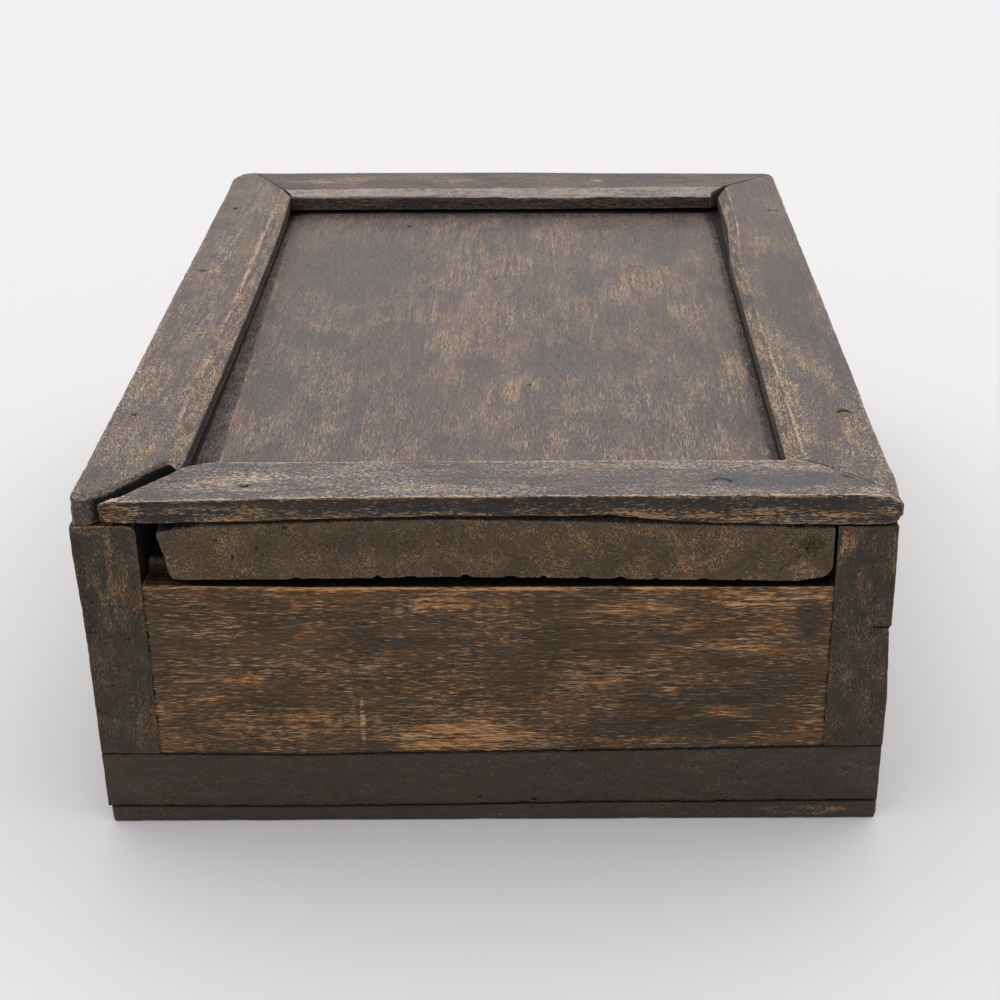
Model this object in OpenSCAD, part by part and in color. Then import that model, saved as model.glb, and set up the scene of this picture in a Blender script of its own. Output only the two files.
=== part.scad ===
// Old spice box of thick dark hardwood boards, with a lid that slides out to the front.
// Millimetres. The origin is the middle of the underside, +Z is up and the front faces -Y.

/* [Box] */
// Width of the box over its side boards
box_w = 220; // [180:1:300]
// Depth of the box from front to back
box_d = 300; // [240:1:400]

/* [Floor] */
// Thickness of the thin board under the floor
under_t = 5; // [3:0.5:10]
// Radius of the worn lower edges of the thin board
under_round = 3; // [0.5:0.5:3]
// Thickness of the floor board
floor_t = 18.5; // [10:0.5:30]

/* [Walls] */
// Thickness of the side boards
side_t = 16; // [12:0.5:24]
// Height of the lower side boards
side_lower_h = 37.5; // [25:0.5:60]
// Height of the upper side boards
side_upper_h = 34.5; // [30:0.5:60]
// Thickness of the front board
front_t = 9.5; // [6:0.5:16]
// Thickness of the back board
back_t = 12; // [8:0.5:20]
// Space at each end of the front and back boards
wall_gap = 0.1; // [0.05:0.05:0.3]
// Radius of the worn upright corner at the back left
back_left_r = 8.5; // [1:0.5:10]
// Radius of the worn upright corner at the back right
back_right_r = 5.5; // [1:0.5:10]

/* [Rails] */
// Thickness of the rails that frame the top
rail_t = 8.5; // [7:0.5:14]
// How far the left rail reaches in over the lid
left_over = 9; // [8:0.5:14]
// How far the right rail reaches in over the lid
right_over = 11.5; // [5:0.5:14]
// How far the back rail reaches in over the lid
back_over = 11; // [5:0.5:16]
// Width of the front rail, which is fixed to the lid
front_rail_w = 22.8; // [18:0.5:30]
// Width of the bevel along the inner edges
bevel_w = 3.5; // [1:0.5:5]
// Height of the bevel along the inner edges
bevel_h = 2; // [0.5:0.5:3]
// Width of the left rail's blunt front tip
left_tip_w = 4.5; // [2:0.5:8]
// Open joint between the left rail and the front rail, across the cut
left_joint_gap = 2.8; // [0.5:0.1:5]
// Closed joint between the right rail and the front rail, across the cut
right_joint_gap = 0.3; // [0.2:0.1:1]
// How far the right rail's tip stays behind the front
right_tip_back = 1.9; // [0:0.1:6]
// How far the left rail runs along the back edge
back_joint_left = 7.5; // [2:0.5:14]
// Radius of the front rail's worn inner corner at the open joint
front_rail_round = 4; // [1:0.5:6]

/* [Lid] */
// Thickness of the lid board
lid_t = 16.9; // [8:0.1:22]
// Gap that the shrunken lid leaves at its upper left edge
lid_shrink = 5.9; // [0.5:0.1:6.5]
// How far the lid's left edge slopes in under itself
lid_slant = 5.6; // [0:0.2:10]
// How far the lid's upper left edge is worn down
lid_worn_h = 2.2; // [0.2:0.1:4]
// Width of the worn strip along the lid's upper left edge
lid_worn_w = 12; // [4:1:20]
// Radius of the lid's lower right edge
lid_round = 4; // [1:0.5:6]
// Side play between the lid's right edge and the side board
lid_play = 0.5; // [0.3:0.1:2]
// Play behind the lid
lid_back_play = 0.4; // [0.3:0.1:3]
// How far the lid's top lies above the side boards
lid_proud = 0.4; // [0.3:0.1:1]
// Gap between the lid's top and the rails over its edges
rail_gap = 2.2; // [0.5:0.1:3]
// Gap between the lid and the front board under it
front_gap = 2.5; // [0.5:0.1:6]

/* [Runners] */
// Width of the runners that carry the lid
runner_w = 16; // [13:0.5:24]
// Height of the runners
runner_h = 8; // [5:0.5:16]
// Play between the lid and the runners
runner_gap = 0.2; // [0.1:0.1:0.5]

/* [Dividers] */
// Thickness of the thin boards between the compartments
divider_t = 6; // [3:0.5:10]
// Play at the ends, slots and notches of the dividers
divider_gap = 0.2; // [0.1:0.05:0.5]
// Gap between the dividers and the lid
divider_lid_gap = 0.5; // [0.3:0.1:3]

/* [Pegs and nails] */
// Diameter of the wooden pegs in the rails
peg_d = 3; // [2:0.2:5]
// Length of the wooden pegs
peg_len = 30; // [15:1:34]
// Spacing of the pegs along a rail
peg_pitch = 64; // [40:1:70]
// Distance from the outer face to the pegs
peg_inset = 6; // [4:0.5:8]
// Diameter of the dowels between the side boards
dowel_d = 6; // [4:0.5:8]
// Length of the dowels
dowel_len = 24; // [16:1:24]
// Diameter of the nails' shanks
nail_d = 1.8; // [1:0.1:3]
// Diameter of the nails' heads
nail_head_d = 3.2; // [3.2:0.1:5]
// Thickness of the nails' heads
nail_head_t = 0.8; // [0.5:0.1:1.5]
// Length of the nails through the walls and the floor
long_nail = 36; // [32:1:40]
// Length of the nails in the runners
runner_nail = 20; // [18:0.5:21]
// Length of the nails in the front rail
lid_nail = 22; // [14:1:23]
// Distance from the front to the nails in the front rail
lid_nail_in = 9; // [5:0.5:14]
// Space round every peg and nail in its hole
hole_fit = 0.05; // [0.03:0.01:0.1]

/* [Hidden] */
$fn = 48;
eps = 1;                                      // how far a cut runs past the wood

half_w = box_w / 2;
half_d = box_d / 2;
inner_x = half_w - side_t;                    // inner face of each side board
cross_count = 2;                              // boards that cross the box
floor_top = under_t + floor_t;
seam_z = floor_top + side_lower_h;            // joint between the two boards of a side
side_top = seam_z + side_upper_h;
rail_top = side_top + rail_t;
lid_top = side_top + lid_proud;
lid_bottom = lid_top - lid_t;
front_top = lid_bottom - front_gap;
runner_top = lid_bottom - runner_gap;
runner_bottom = runner_top - runner_h;
divider_top = lid_bottom - divider_lid_gap;
divider_h = divider_top - floor_top;

front_inner = -half_d + front_t;              // inner face of the front board
back_inner = half_d - back_t;                 // inner face of the back board
lid_right = inner_x - lid_play;
lid_left = -inner_x + lid_shrink;             // upper left edge of the lid
lid_len = back_inner - lid_back_play + half_d;
left_inner = -inner_x + left_over;            // inner edge of each rail
right_inner = inner_x - right_over;
back_edge = back_inner - back_over;
front_edge = -half_d + front_rail_w;
rebate_h = lid_proud + rail_gap;              // hollow under the rails where the lid runs

hold_len = back_inner - front_inner;          // length inside the walls
cell_d = (hold_len - cross_count * divider_t) / (cross_count + 1);
peg_mid_y = 1;                                // middle of each row of pegs
peg_count = 4;
dowel_count = 3;
back_peg_count = 3;
back_peg_in = 4;                              // first back peg from the left side board
lid_nail_mid_x = -1.5;
wall_nail_low = 15;                           // lower wall nails above the floor
wall_nail_high = 6.5;                         // upper wall nails above the side seam
long_row_count = 4;                           // nails along the floor and each runner
long_row_end = 30;                            // distance of the first and last from the ends

function cross_y(i) = front_inner + (i + 1) * cell_d + (i + 0.5) * divider_t;
function row(i, count, pitch) = (i - (count - 1) / 2) * pitch;
function long_row(i, length) = row(i, long_row_count, (length - 2 * long_row_end) / (long_row_count - 1));
function arc(cx, cy, r, from, to, steps = 8) =
    [for (k = [0:steps]) let (a = from + (to - from) * k / steps) [cx + r * cos(a), cy + r * sin(a)]];

// A board with one corner at a point
module board(from, to) {
    translate(from) cube(to - from);
}

// An outline in X and Z, drawn out along Y
module along_y(y0, length, points) {
    translate([0, y0 + length, 0]) rotate([90, 0, 0]) linear_extrude(length) polygon(points);
}

// What is cut off an upright edge at the back to round it
module corner_cut(side, z0, z1) {
    r = side < 0 ? back_left_r : back_right_r;
    translate([side * half_w, half_d, z0 - eps]) difference() {
        translate([side > 0 ? -r : -eps, -r, 0]) cube([r + eps, r + eps, z1 - z0 + 2 * eps]);
        translate([-side * r, -r, -eps]) cylinder(r = r, h = z1 - z0 + 4 * eps);
    }
}

// One peg, its outer end at the origin and its length along -Z
module peg(d, length, grow) {
    translate([0, 0, -length - grow]) cylinder(d = d + 2 * grow, h = length + grow + (grow > 0 ? eps : 0));
}

// One nail, its head at the origin and its shank along -Z
module nail(length, grow) {
    peg(nail_d, length, grow);
    peg(nail_head_d, nail_head_t, grow);
}

// Pegs through a side rail into the upper side board
module side_rail_pegs(side, grow = 0) {
    for (i = [0:peg_count - 1])
        translate([side * (half_w - peg_inset), peg_mid_y + row(i, peg_count, peg_pitch), rail_top])
            peg(peg_d, peg_len, grow);
}

// Pegs through the back rail into the back board
module rear_pegs(grow = 0) {
    for (i = [0:back_peg_count - 1])
        translate([-inner_x + back_peg_in + i * peg_pitch, half_d - back_t / 2, rail_top])
            peg(peg_d, peg_len, grow);
}

// Dowels across the seam between the two boards of a side
module seam_dowels(side, grow = 0) {
    for (i = [0:dowel_count - 1])
        translate([side * (half_w - side_t / 2), peg_mid_y + row(i, dowel_count, peg_pitch),
                   seam_z - dowel_len / 2 - grow])
            cylinder(d = dowel_d + 2 * grow, h = dowel_len + 2 * grow);
}

// Nails up through the floor into the side boards
module bottom_nails(grow = 0) {
    for (side = [-1, 1], i = [0:long_row_count - 1])
        translate([side * (half_w - side_t / 2), long_row(i, box_d), 0])
            rotate([180, 0, 0]) nail(long_nail, grow);
}

// Nails through both sides into the ends of a wall
module wall_nails(y, grow = 0) {
    for (side = [-1, 1], z = [floor_top + wall_nail_low, seam_z + wall_nail_high])
        translate([side * half_w, y, z]) rotate([0, side * 90, 0]) nail(long_nail, grow);
}

// Nails through a runner into the upper side board
module ledge_nails(side, grow = 0) {
    for (i = [0:long_row_count - 1])
        translate([side * (inner_x - runner_w), (front_inner + back_inner) / 2 + long_row(i, hold_len),
                   runner_bottom + runner_h / 2])
            rotate([0, -side * 90, 0]) nail(runner_nail, grow);
}

// Nails down through the front rail into the lid
module lid_nails(grow = 0) {
    for (i = [-1:1])
        translate([lid_nail_mid_x + i * peg_pitch, -half_d + lid_nail_in, rail_top])
            nail(lid_nail, grow);
}

// Hollow under a rail where the lid's edge runs, and the bevel along its inner edge
module side_rail_cuts(side, inner_edge) {
    board([side > 0 ? inner_edge - eps : -inner_x, -half_d - eps, side_top - eps],
          [side > 0 ? inner_x : inner_edge + eps, back_inner, side_top + rebate_h]);
    along_y(-half_d - eps, box_d + 2 * eps,
            [[inner_edge, rail_top - bevel_h], [inner_edge + side * bevel_w, rail_top],
             [inner_edge + side * bevel_w, rail_top + eps], [inner_edge - side * eps, rail_top + eps],
             [inner_edge - side * eps, rail_top - bevel_h]]);
}

module side_board(side, z0, z1) {
    difference() {
        board([side > 0 ? inner_x : -half_w, -half_d, z0], [side > 0 ? half_w : -inner_x, half_d, z1]);
        corner_cut(side, z0, z1);
        side_rail_pegs(side, hole_fit);
        seam_dowels(side, hole_fit);
        bottom_nails(hole_fit);
        wall_nails(-half_d + front_t / 2, hole_fit);
        wall_nails(half_d - back_t / 2, hole_fit);
        ledge_nails(side, hole_fit);
    }
}

module runner(side) {
    difference() {
        board([side > 0 ? inner_x - runner_w : -inner_x, front_inner + divider_gap, runner_bottom],
              [side > 0 ? inner_x : runner_w - inner_x, back_inner - divider_gap, runner_top]);
        ledge_nails(side, hole_fit);
    }
}

// A board across the box, notched round the runners and slotted for the long divider
module cross_divider(i) {
    notch_x = inner_x - runner_w - divider_gap;
    end_x = inner_x - divider_gap;
    notch_z = runner_bottom - divider_gap;
    slot_z = floor_top + divider_h / 2;
    slot_x = divider_t / 2 + divider_gap;
    along_y(cross_y(i) - divider_t / 2, divider_t,
            [[-end_x, floor_top], [end_x, floor_top], [end_x, notch_z], [notch_x, notch_z],
             [notch_x, divider_top], [slot_x, divider_top], [slot_x, slot_z], [-slot_x, slot_z],
             [-slot_x, divider_top], [-notch_x, divider_top], [-notch_x, notch_z], [-end_x, notch_z]]);
}

module under_board() color("#3a3026") difference() {
    along_y(-half_d, box_d, concat(
        arc(-half_w + under_round, under_round, under_round, 180, 270),
        arc(half_w - under_round, under_round, under_round, 270, 360),
        [[half_w, under_t], [-half_w, under_t]]));
    for (side = [-1, 1]) corner_cut(side, 0, under_t);
    bottom_nails(hole_fit);
}

module floor_board() color("#35312b") difference() {
    board([-half_w, -half_d, under_t], [half_w, half_d, floor_top]);
    for (side = [-1, 1]) corner_cut(side, under_t, floor_top);
    bottom_nails(hole_fit);
}

module left_side_lower() color("#3b352e") side_board(-1, floor_top, seam_z);
module left_side_upper() color("#4a3d31") side_board(-1, seam_z, side_top);
module right_side_lower() color("#3b352e") side_board(1, floor_top, seam_z);
module right_side_upper() color("#423a31") side_board(1, seam_z, side_top);

module front_board() color("#4b3628") difference() {
    board([-inner_x + wall_gap, -half_d, floor_top], [inner_x - wall_gap, front_inner, front_top]);
    wall_nails(-half_d + front_t / 2, hole_fit);
}

module back_board() color("#45342a") difference() {
    board([-inner_x + wall_gap, back_inner, floor_top], [inner_x - wall_gap, half_d, side_top]);
    wall_nails(half_d - back_t / 2, hole_fit);
    rear_pegs(hole_fit);
}

module left_runner() color("#4f4034") runner(-1);
module right_runner() color("#4f4034") runner(1);

module long_divider() color("#5c493a") difference() {
    board([-divider_t / 2, front_inner + divider_gap, floor_top],
          [divider_t / 2, back_inner - divider_gap, divider_top]);
    for (i = [0:cross_count - 1])
        board([-divider_t, cross_y(i) - divider_t / 2 - divider_gap, floor_top - eps],
              [divider_t, cross_y(i) + divider_t / 2 + divider_gap, floor_top + divider_h / 2]);
}

module cross_divider_front() color("#59473a") cross_divider(0);
module cross_divider_rear() color("#59473a") cross_divider(1);

module left_rail() color("#5f554c") difference() {
    translate([0, 0, side_top]) linear_extrude(rail_t) polygon([
        [-half_w, -half_d], [-half_w + left_tip_w, -half_d],
        [left_inner, -half_d + side_t + left_over - left_tip_w], [left_inner, back_edge],
        [-half_w + back_joint_left, half_d], [-half_w, half_d]]);
    side_rail_cuts(-1, left_inner);
    corner_cut(-1, side_top, rail_top);
    side_rail_pegs(-1, hole_fit);
}

module right_rail() color("#5d534a") difference() {
    tip_y = -half_d + right_tip_back + right_joint_gap * sqrt(2);
    tip_end = front_edge + right_joint_gap;
    translate([0, 0, side_top]) linear_extrude(rail_t) polygon([
        [half_w, tip_y], [half_w, half_d], [right_inner, back_edge], [right_inner, tip_end],
        [half_w - (tip_end - tip_y), tip_end]]);
    side_rail_cuts(1, right_inner);
    corner_cut(1, side_top, rail_top);
    side_rail_pegs(1, hole_fit);
}

module back_rail() color("#5a4f46") difference() {
    translate([0, 0, side_top]) linear_extrude(rail_t) polygon([
        [-half_w + back_joint_left + wall_gap, half_d], [left_inner + wall_gap, back_edge],
        [right_inner - wall_gap, back_edge], [half_w - wall_gap, half_d]]);
    board([-inner_x, back_edge - eps, side_top - eps], [inner_x, back_inner, side_top + rebate_h]);
    translate([half_w, 0, 0]) rotate([0, 0, 90]) along_y(0, box_w,
        [[back_edge, rail_top - bevel_h], [back_edge + bevel_w, rail_top],
         [back_edge + bevel_w, rail_top + eps], [back_edge - eps, rail_top + eps],
         [back_edge - eps, rail_top - bevel_h]]);
    for (side = [-1, 1]) corner_cut(side, side_top, rail_top);
    rear_pegs(hole_fit);
}

module lid_board() color("#554a40") difference() {
    along_y(-half_d, lid_len, concat(
        [[lid_left + lid_slant, lid_bottom]],
        arc(lid_right - lid_round, lid_bottom + lid_round, lid_round, 270, 360),
        [[lid_right, lid_top], [lid_left + lid_worn_w, lid_top], [lid_left, lid_top - lid_worn_h]]));
    lid_nails(hole_fit);
}

module front_rail() color("#5c5249") difference() {
    joint_x = -half_w + left_tip_w + left_joint_gap * sqrt(2);
    corner = [joint_x + front_rail_w, front_edge];
    round_in = front_rail_round * tan(67.5);
    tip_y = -half_d + right_tip_back;
    translate([0, 0, lid_top]) linear_extrude(rail_top - lid_top) polygon(concat(
        [[joint_x, -half_d], [half_w, -half_d], [half_w, tip_y], [half_w - (front_edge - tip_y), front_edge]],
        arc(corner[0] + round_in, corner[1] - front_rail_round, front_rail_round, 90, 135)));
    lid_nails(hole_fit);
}

module left_rail_pegs() color("#8a6a45") side_rail_pegs(-1);
module right_rail_pegs() color("#8a6a45") side_rail_pegs(1);
module back_rail_pegs() color("#8a6a45") rear_pegs();
module left_side_dowels() color("#8a6a45") seam_dowels(-1);
module right_side_dowels() color("#8a6a45") seam_dowels(1);
module floor_nails() color("#2b2826") bottom_nails();
module front_board_nails() color("#2b2826") wall_nails(-half_d + front_t / 2);
module back_board_nails() color("#2b2826") wall_nails(half_d - back_t / 2);
module left_runner_nails() color("#2b2826") ledge_nails(-1);
module right_runner_nails() color("#2b2826") ledge_nails(1);
module front_rail_nails() color("#2b2826") lid_nails();

under_board();
floor_board();
left_side_lower();
left_side_upper();
right_side_lower();
right_side_upper();
front_board();
back_board();
left_runner();
right_runner();
long_divider();
cross_divider_front();
cross_divider_rear();
left_rail();
right_rail();
back_rail();
lid_board();
front_rail();
left_rail_pegs();
right_rail_pegs();
back_rail_pegs();
left_side_dowels();
right_side_dowels();
floor_nails();
front_board_nails();
back_board_nails();
left_runner_nails();
right_runner_nails();
front_rail_nails();
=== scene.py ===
# Old spice box of dark boards whose lid slides out to the front. Sizes are in millimetres unless noted.
import math
import bpy
import numpy as np
from mathutils import Matrix, Vector, noise


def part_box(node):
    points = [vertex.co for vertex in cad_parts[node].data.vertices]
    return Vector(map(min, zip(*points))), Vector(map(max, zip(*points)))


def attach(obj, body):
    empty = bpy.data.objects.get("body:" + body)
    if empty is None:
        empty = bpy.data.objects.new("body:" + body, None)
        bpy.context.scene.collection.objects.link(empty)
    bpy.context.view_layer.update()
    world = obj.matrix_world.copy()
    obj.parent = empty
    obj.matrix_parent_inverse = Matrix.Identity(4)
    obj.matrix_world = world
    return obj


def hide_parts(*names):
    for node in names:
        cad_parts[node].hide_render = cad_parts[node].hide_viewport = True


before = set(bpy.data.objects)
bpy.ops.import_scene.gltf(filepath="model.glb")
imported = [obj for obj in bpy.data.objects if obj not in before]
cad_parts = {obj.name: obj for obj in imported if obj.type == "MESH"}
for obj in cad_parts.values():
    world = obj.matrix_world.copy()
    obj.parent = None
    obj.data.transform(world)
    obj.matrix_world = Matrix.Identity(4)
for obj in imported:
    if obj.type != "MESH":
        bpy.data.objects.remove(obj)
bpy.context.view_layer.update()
metre = 1000.0                     # millimetres in one metre
halfWidth = 110
halfDepth = 150
boxTop = 104
bevelFoot = 100.6                  # height of the foot of the rails' bevelled edges
backRound = dict(left=8.5, right=5.5)      # how round the upright corners at the back are
faces = {"left": (0, -1), "right": (0, 1), "front": (1, -1), "back": (1, 1), "bottom": (2, -1), "top": (2, 1)}
names = list(faces)


def cadCorners(node):              # lowest and highest corner of a CAD node
    low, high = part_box(node)
    return np.array(low) * metre, np.array(high) * metre


def lumps(points, size, shift=0.0, octaves=2):      # smooth noise from about -1 to 1, size is a lump's width
    spots = points / np.array(size, float) + shift
    return np.array([noise.fractal(spot, 1.0, 2.0, octaves) for spot in spots.tolist()])


def smooth(values):                # eases 0 to 1
    t = np.clip(values, 0.0, 1.0)
    return t * t * (3 - 2 * t)


def hump(points, centre, reach):   # 1 at the centre, 0 past the reach, over the axes that the centre names
    total = np.zeros(len(points))
    for axis, (middle, size) in enumerate(zip(centre, reach)):
        if middle is not None:
            total += ((points[:, axis] - middle) / size) ** 2
    return smooth(1.8 * (1 - np.sqrt(total)))


def nearFront(points, reach):      # 1 at the front of the box, 0 past the reach
    return smooth(1 - (points[:, 1] + halfDepth) / reach)


def addObject(name, data):
    thing = bpy.data.objects.new(name, data)
    bpy.context.scene.collection.objects.link(thing)
    return thing


def paintTone(mesh, tones):        # wear, smooth grime with painted sheen, dirt with painted shade, and how crisp the grain is, at each point
    layer = mesh.color_attributes.new("tone", "FLOAT_COLOR", "POINT")
    layer.data.foreach_set("color", np.array(tones).astype(np.float32).ravel())
    mesh.polygons.foreach_set("use_smooth", [True] * len(mesh.polygons))


# What a piece's dictionary is made of: its edges, straight strips of painted shade and dirt, of bare wood or
# of painted sheen, and small marks
def rim(round=0.45, worn=0.25, reach=1.6, chip=1.0, dirt=0.0, dirtReach=8.0):
    return dict(round=round, worn=worn, reach=reach, chip=chip, dirt=dirt, dirtReach=dirtReach)


def strip(axis, low, high, soft, **more):                # on top, deep is how far below the top it reaches
    plain = dict(deep=0.3, lean=0.0, worn=0.0, dirt=0.0, grime=0.0, rough=0.5)
    return dict(plain, axis=axis, across=(low, high), soft=soft, **more)


def dent(face, u, v, wide, high, depth, plane=boxTop, **more):      # a hole, a slit or a groove round a ring
    at = (u, -halfDepth, v) if face == "front" else (u, v, plane)
    plain = dict(reach=2.4, gap=0.4, turn=0, ring=None, facing=90, dirt=1, bare=0, bareReach=2, scratch=0)
    return dict(plain, face=face, at=at, size=(wide, high), depth=depth, **more)


# The boards' meshes: a box cut along lines on three axes, closer together near its edges and small marks
rimLines = (0.3, 0.7, 1.2, 1.9, 2.8, 4.0)
closest = 0.2                      # lines nearer to each other than this are left out


def cutLines(low, high, step, exact=(), fine=()):
    kept = [low, high, *[v for v in exact if low < v < high]]
    for inset in rimLines:
        if high - low > 2.5 * inset:
            kept += [low + inset, high - inset]
    for middle, reach, gap in fine:
        kept += list(np.arange(middle - reach, middle + reach + gap / 2, gap))
    inner = max(1, int(round((high - low) / step)))
    kept += list(np.linspace(low, high, inner + 1))
    lines, held = [], set([low, high, *exact])
    for v in sorted(v for v in kept if low <= v <= high):
        if not lines or v - lines[-1] >= closest:
            lines.append(v)
        elif v in held and lines[-1] not in held:
            lines[-1] = v
        elif v in held and v - lines[-1] > 1e-6:
            lines.append(v)
    return np.array(lines)


def boxSkin(lines):                # points and outward quads of the box's six faces
    counts = [len(v) for v in lines]
    index = -np.ones(counts, int)
    outer = np.zeros(counts, bool)
    outer[[0, -1], :, :] = outer[:, [0, -1], :] = outer[:, :, [0, -1]] = True
    index[outer] = np.arange(outer.sum())
    where = np.argwhere(outer)
    points = np.stack([lines[a][where[:, a]] for a in range(3)], 1)
    quads, sides = [], []
    for number, (axis, way) in enumerate(faces.values()):
        sheet = np.take(index, 0 if way < 0 else counts[axis] - 1, axis)
        a, b, c, d = sheet[:-1, :-1], sheet[1:, :-1], sheet[1:, 1:], sheet[:-1, 1:]
        ring = (a, b, c, d) if (way > 0) == (axis != 1) else (a, d, c, b)
        quads.append(np.stack([r.ravel() for r in ring], 1))
        sides += [number] * len(quads[-1])
    return points, np.concatenate(quads), np.array(sides)


def faceGaps(points, low, high):   # each point's distance from each face of the box, in the order of faces
    gaps = [points[:, a] - low[a] if way < 0 else high[a] - points[:, a] for a, way in faces.values()]
    return np.stack(gaps, 1)


def gapTo(face, gaps):             # each point's distance from one face
    return gaps[:, names.index(face)]


def roundArris(points, low, high, one, two, radius):      # rounds the edge between two faces
    (a, wa), (b, wb) = faces[one], faces[two]
    ends = (high if wa > 0 else low)[a], (high if wb > 0 else low)[b]
    u, v = radius - abs(points[:, a] - ends[0]), radius - abs(points[:, b] - ends[1])
    near = (u > 0) & (v > 0)
    if not near.any():
        return
    u, v, r = u[near], v[near], radius[near]
    squeeze = np.maximum(u, v) / np.hypot(u, v)
    points[near, a] = ends[0] + wa * (u * squeeze - r)
    points[near, b] = ends[1] + wb * (v * squeeze - r)


def faceSpot(points, gaps, face, x, y, sizeX, sizeY, uneven):     # a soft uneven patch on one face
    flat = [a for a in range(3) if a != faces[face][0]]
    centre = [None] * 3
    reach = [1.0] * 3
    centre[flat[0]], centre[flat[1]], reach[flat[0]], reach[flat[1]] = x, y, sizeX, sizeY
    near = smooth(1.5 - gapTo(face, gaps) / 1.5)
    return hump(points, centre, reach) * near * np.clip(1 + 0.7 * uneven, 0, 2)


def markShape(points, mark):       # depth, darkening and bare wood of one mark
    axis = faces[mark["face"]][0]
    flat = [a for a in range(3) if a != axis]
    onFace = smooth(2 - abs(points[:, axis] - mark["at"][axis]) / 1.0)
    u = points[:, flat[0]] - mark["at"][flat[0]]
    v = points[:, flat[1]] - mark["at"][flat[1]]
    turn = math.radians(mark["turn"])
    u, v = u * math.cos(turn) + v * math.sin(turn), v * math.cos(turn) - u * math.sin(turn)
    if mark["ring"]:                       # a groove round the far side of a peg
        u, v = u / mark["ring"][0], v / mark["ring"][1]
        angle = np.degrees(np.arctan2(v, u))
        ring = abs(np.hypot(u, v) - 1) * mark["ring"][0] / mark["size"][0]
        inside = smooth(1.6 - 1.2 * ring) * smooth((mark["size"][1] - abs(angle - mark["facing"])) / 40)
    else:                                  # a hole or a slit
        inside = smooth((1 - np.hypot(u / mark["size"][0], v / mark["size"][1])) * 2.2)
    inside = inside * onFace
    bare = mark["bare"] * smooth(1.4 - np.hypot(u, v) / mark["bareReach"]) * (1 - inside) * onFace
    return inside * mark["depth"], inside * mark["dirt"], bare + inside * mark["scratch"]


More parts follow.
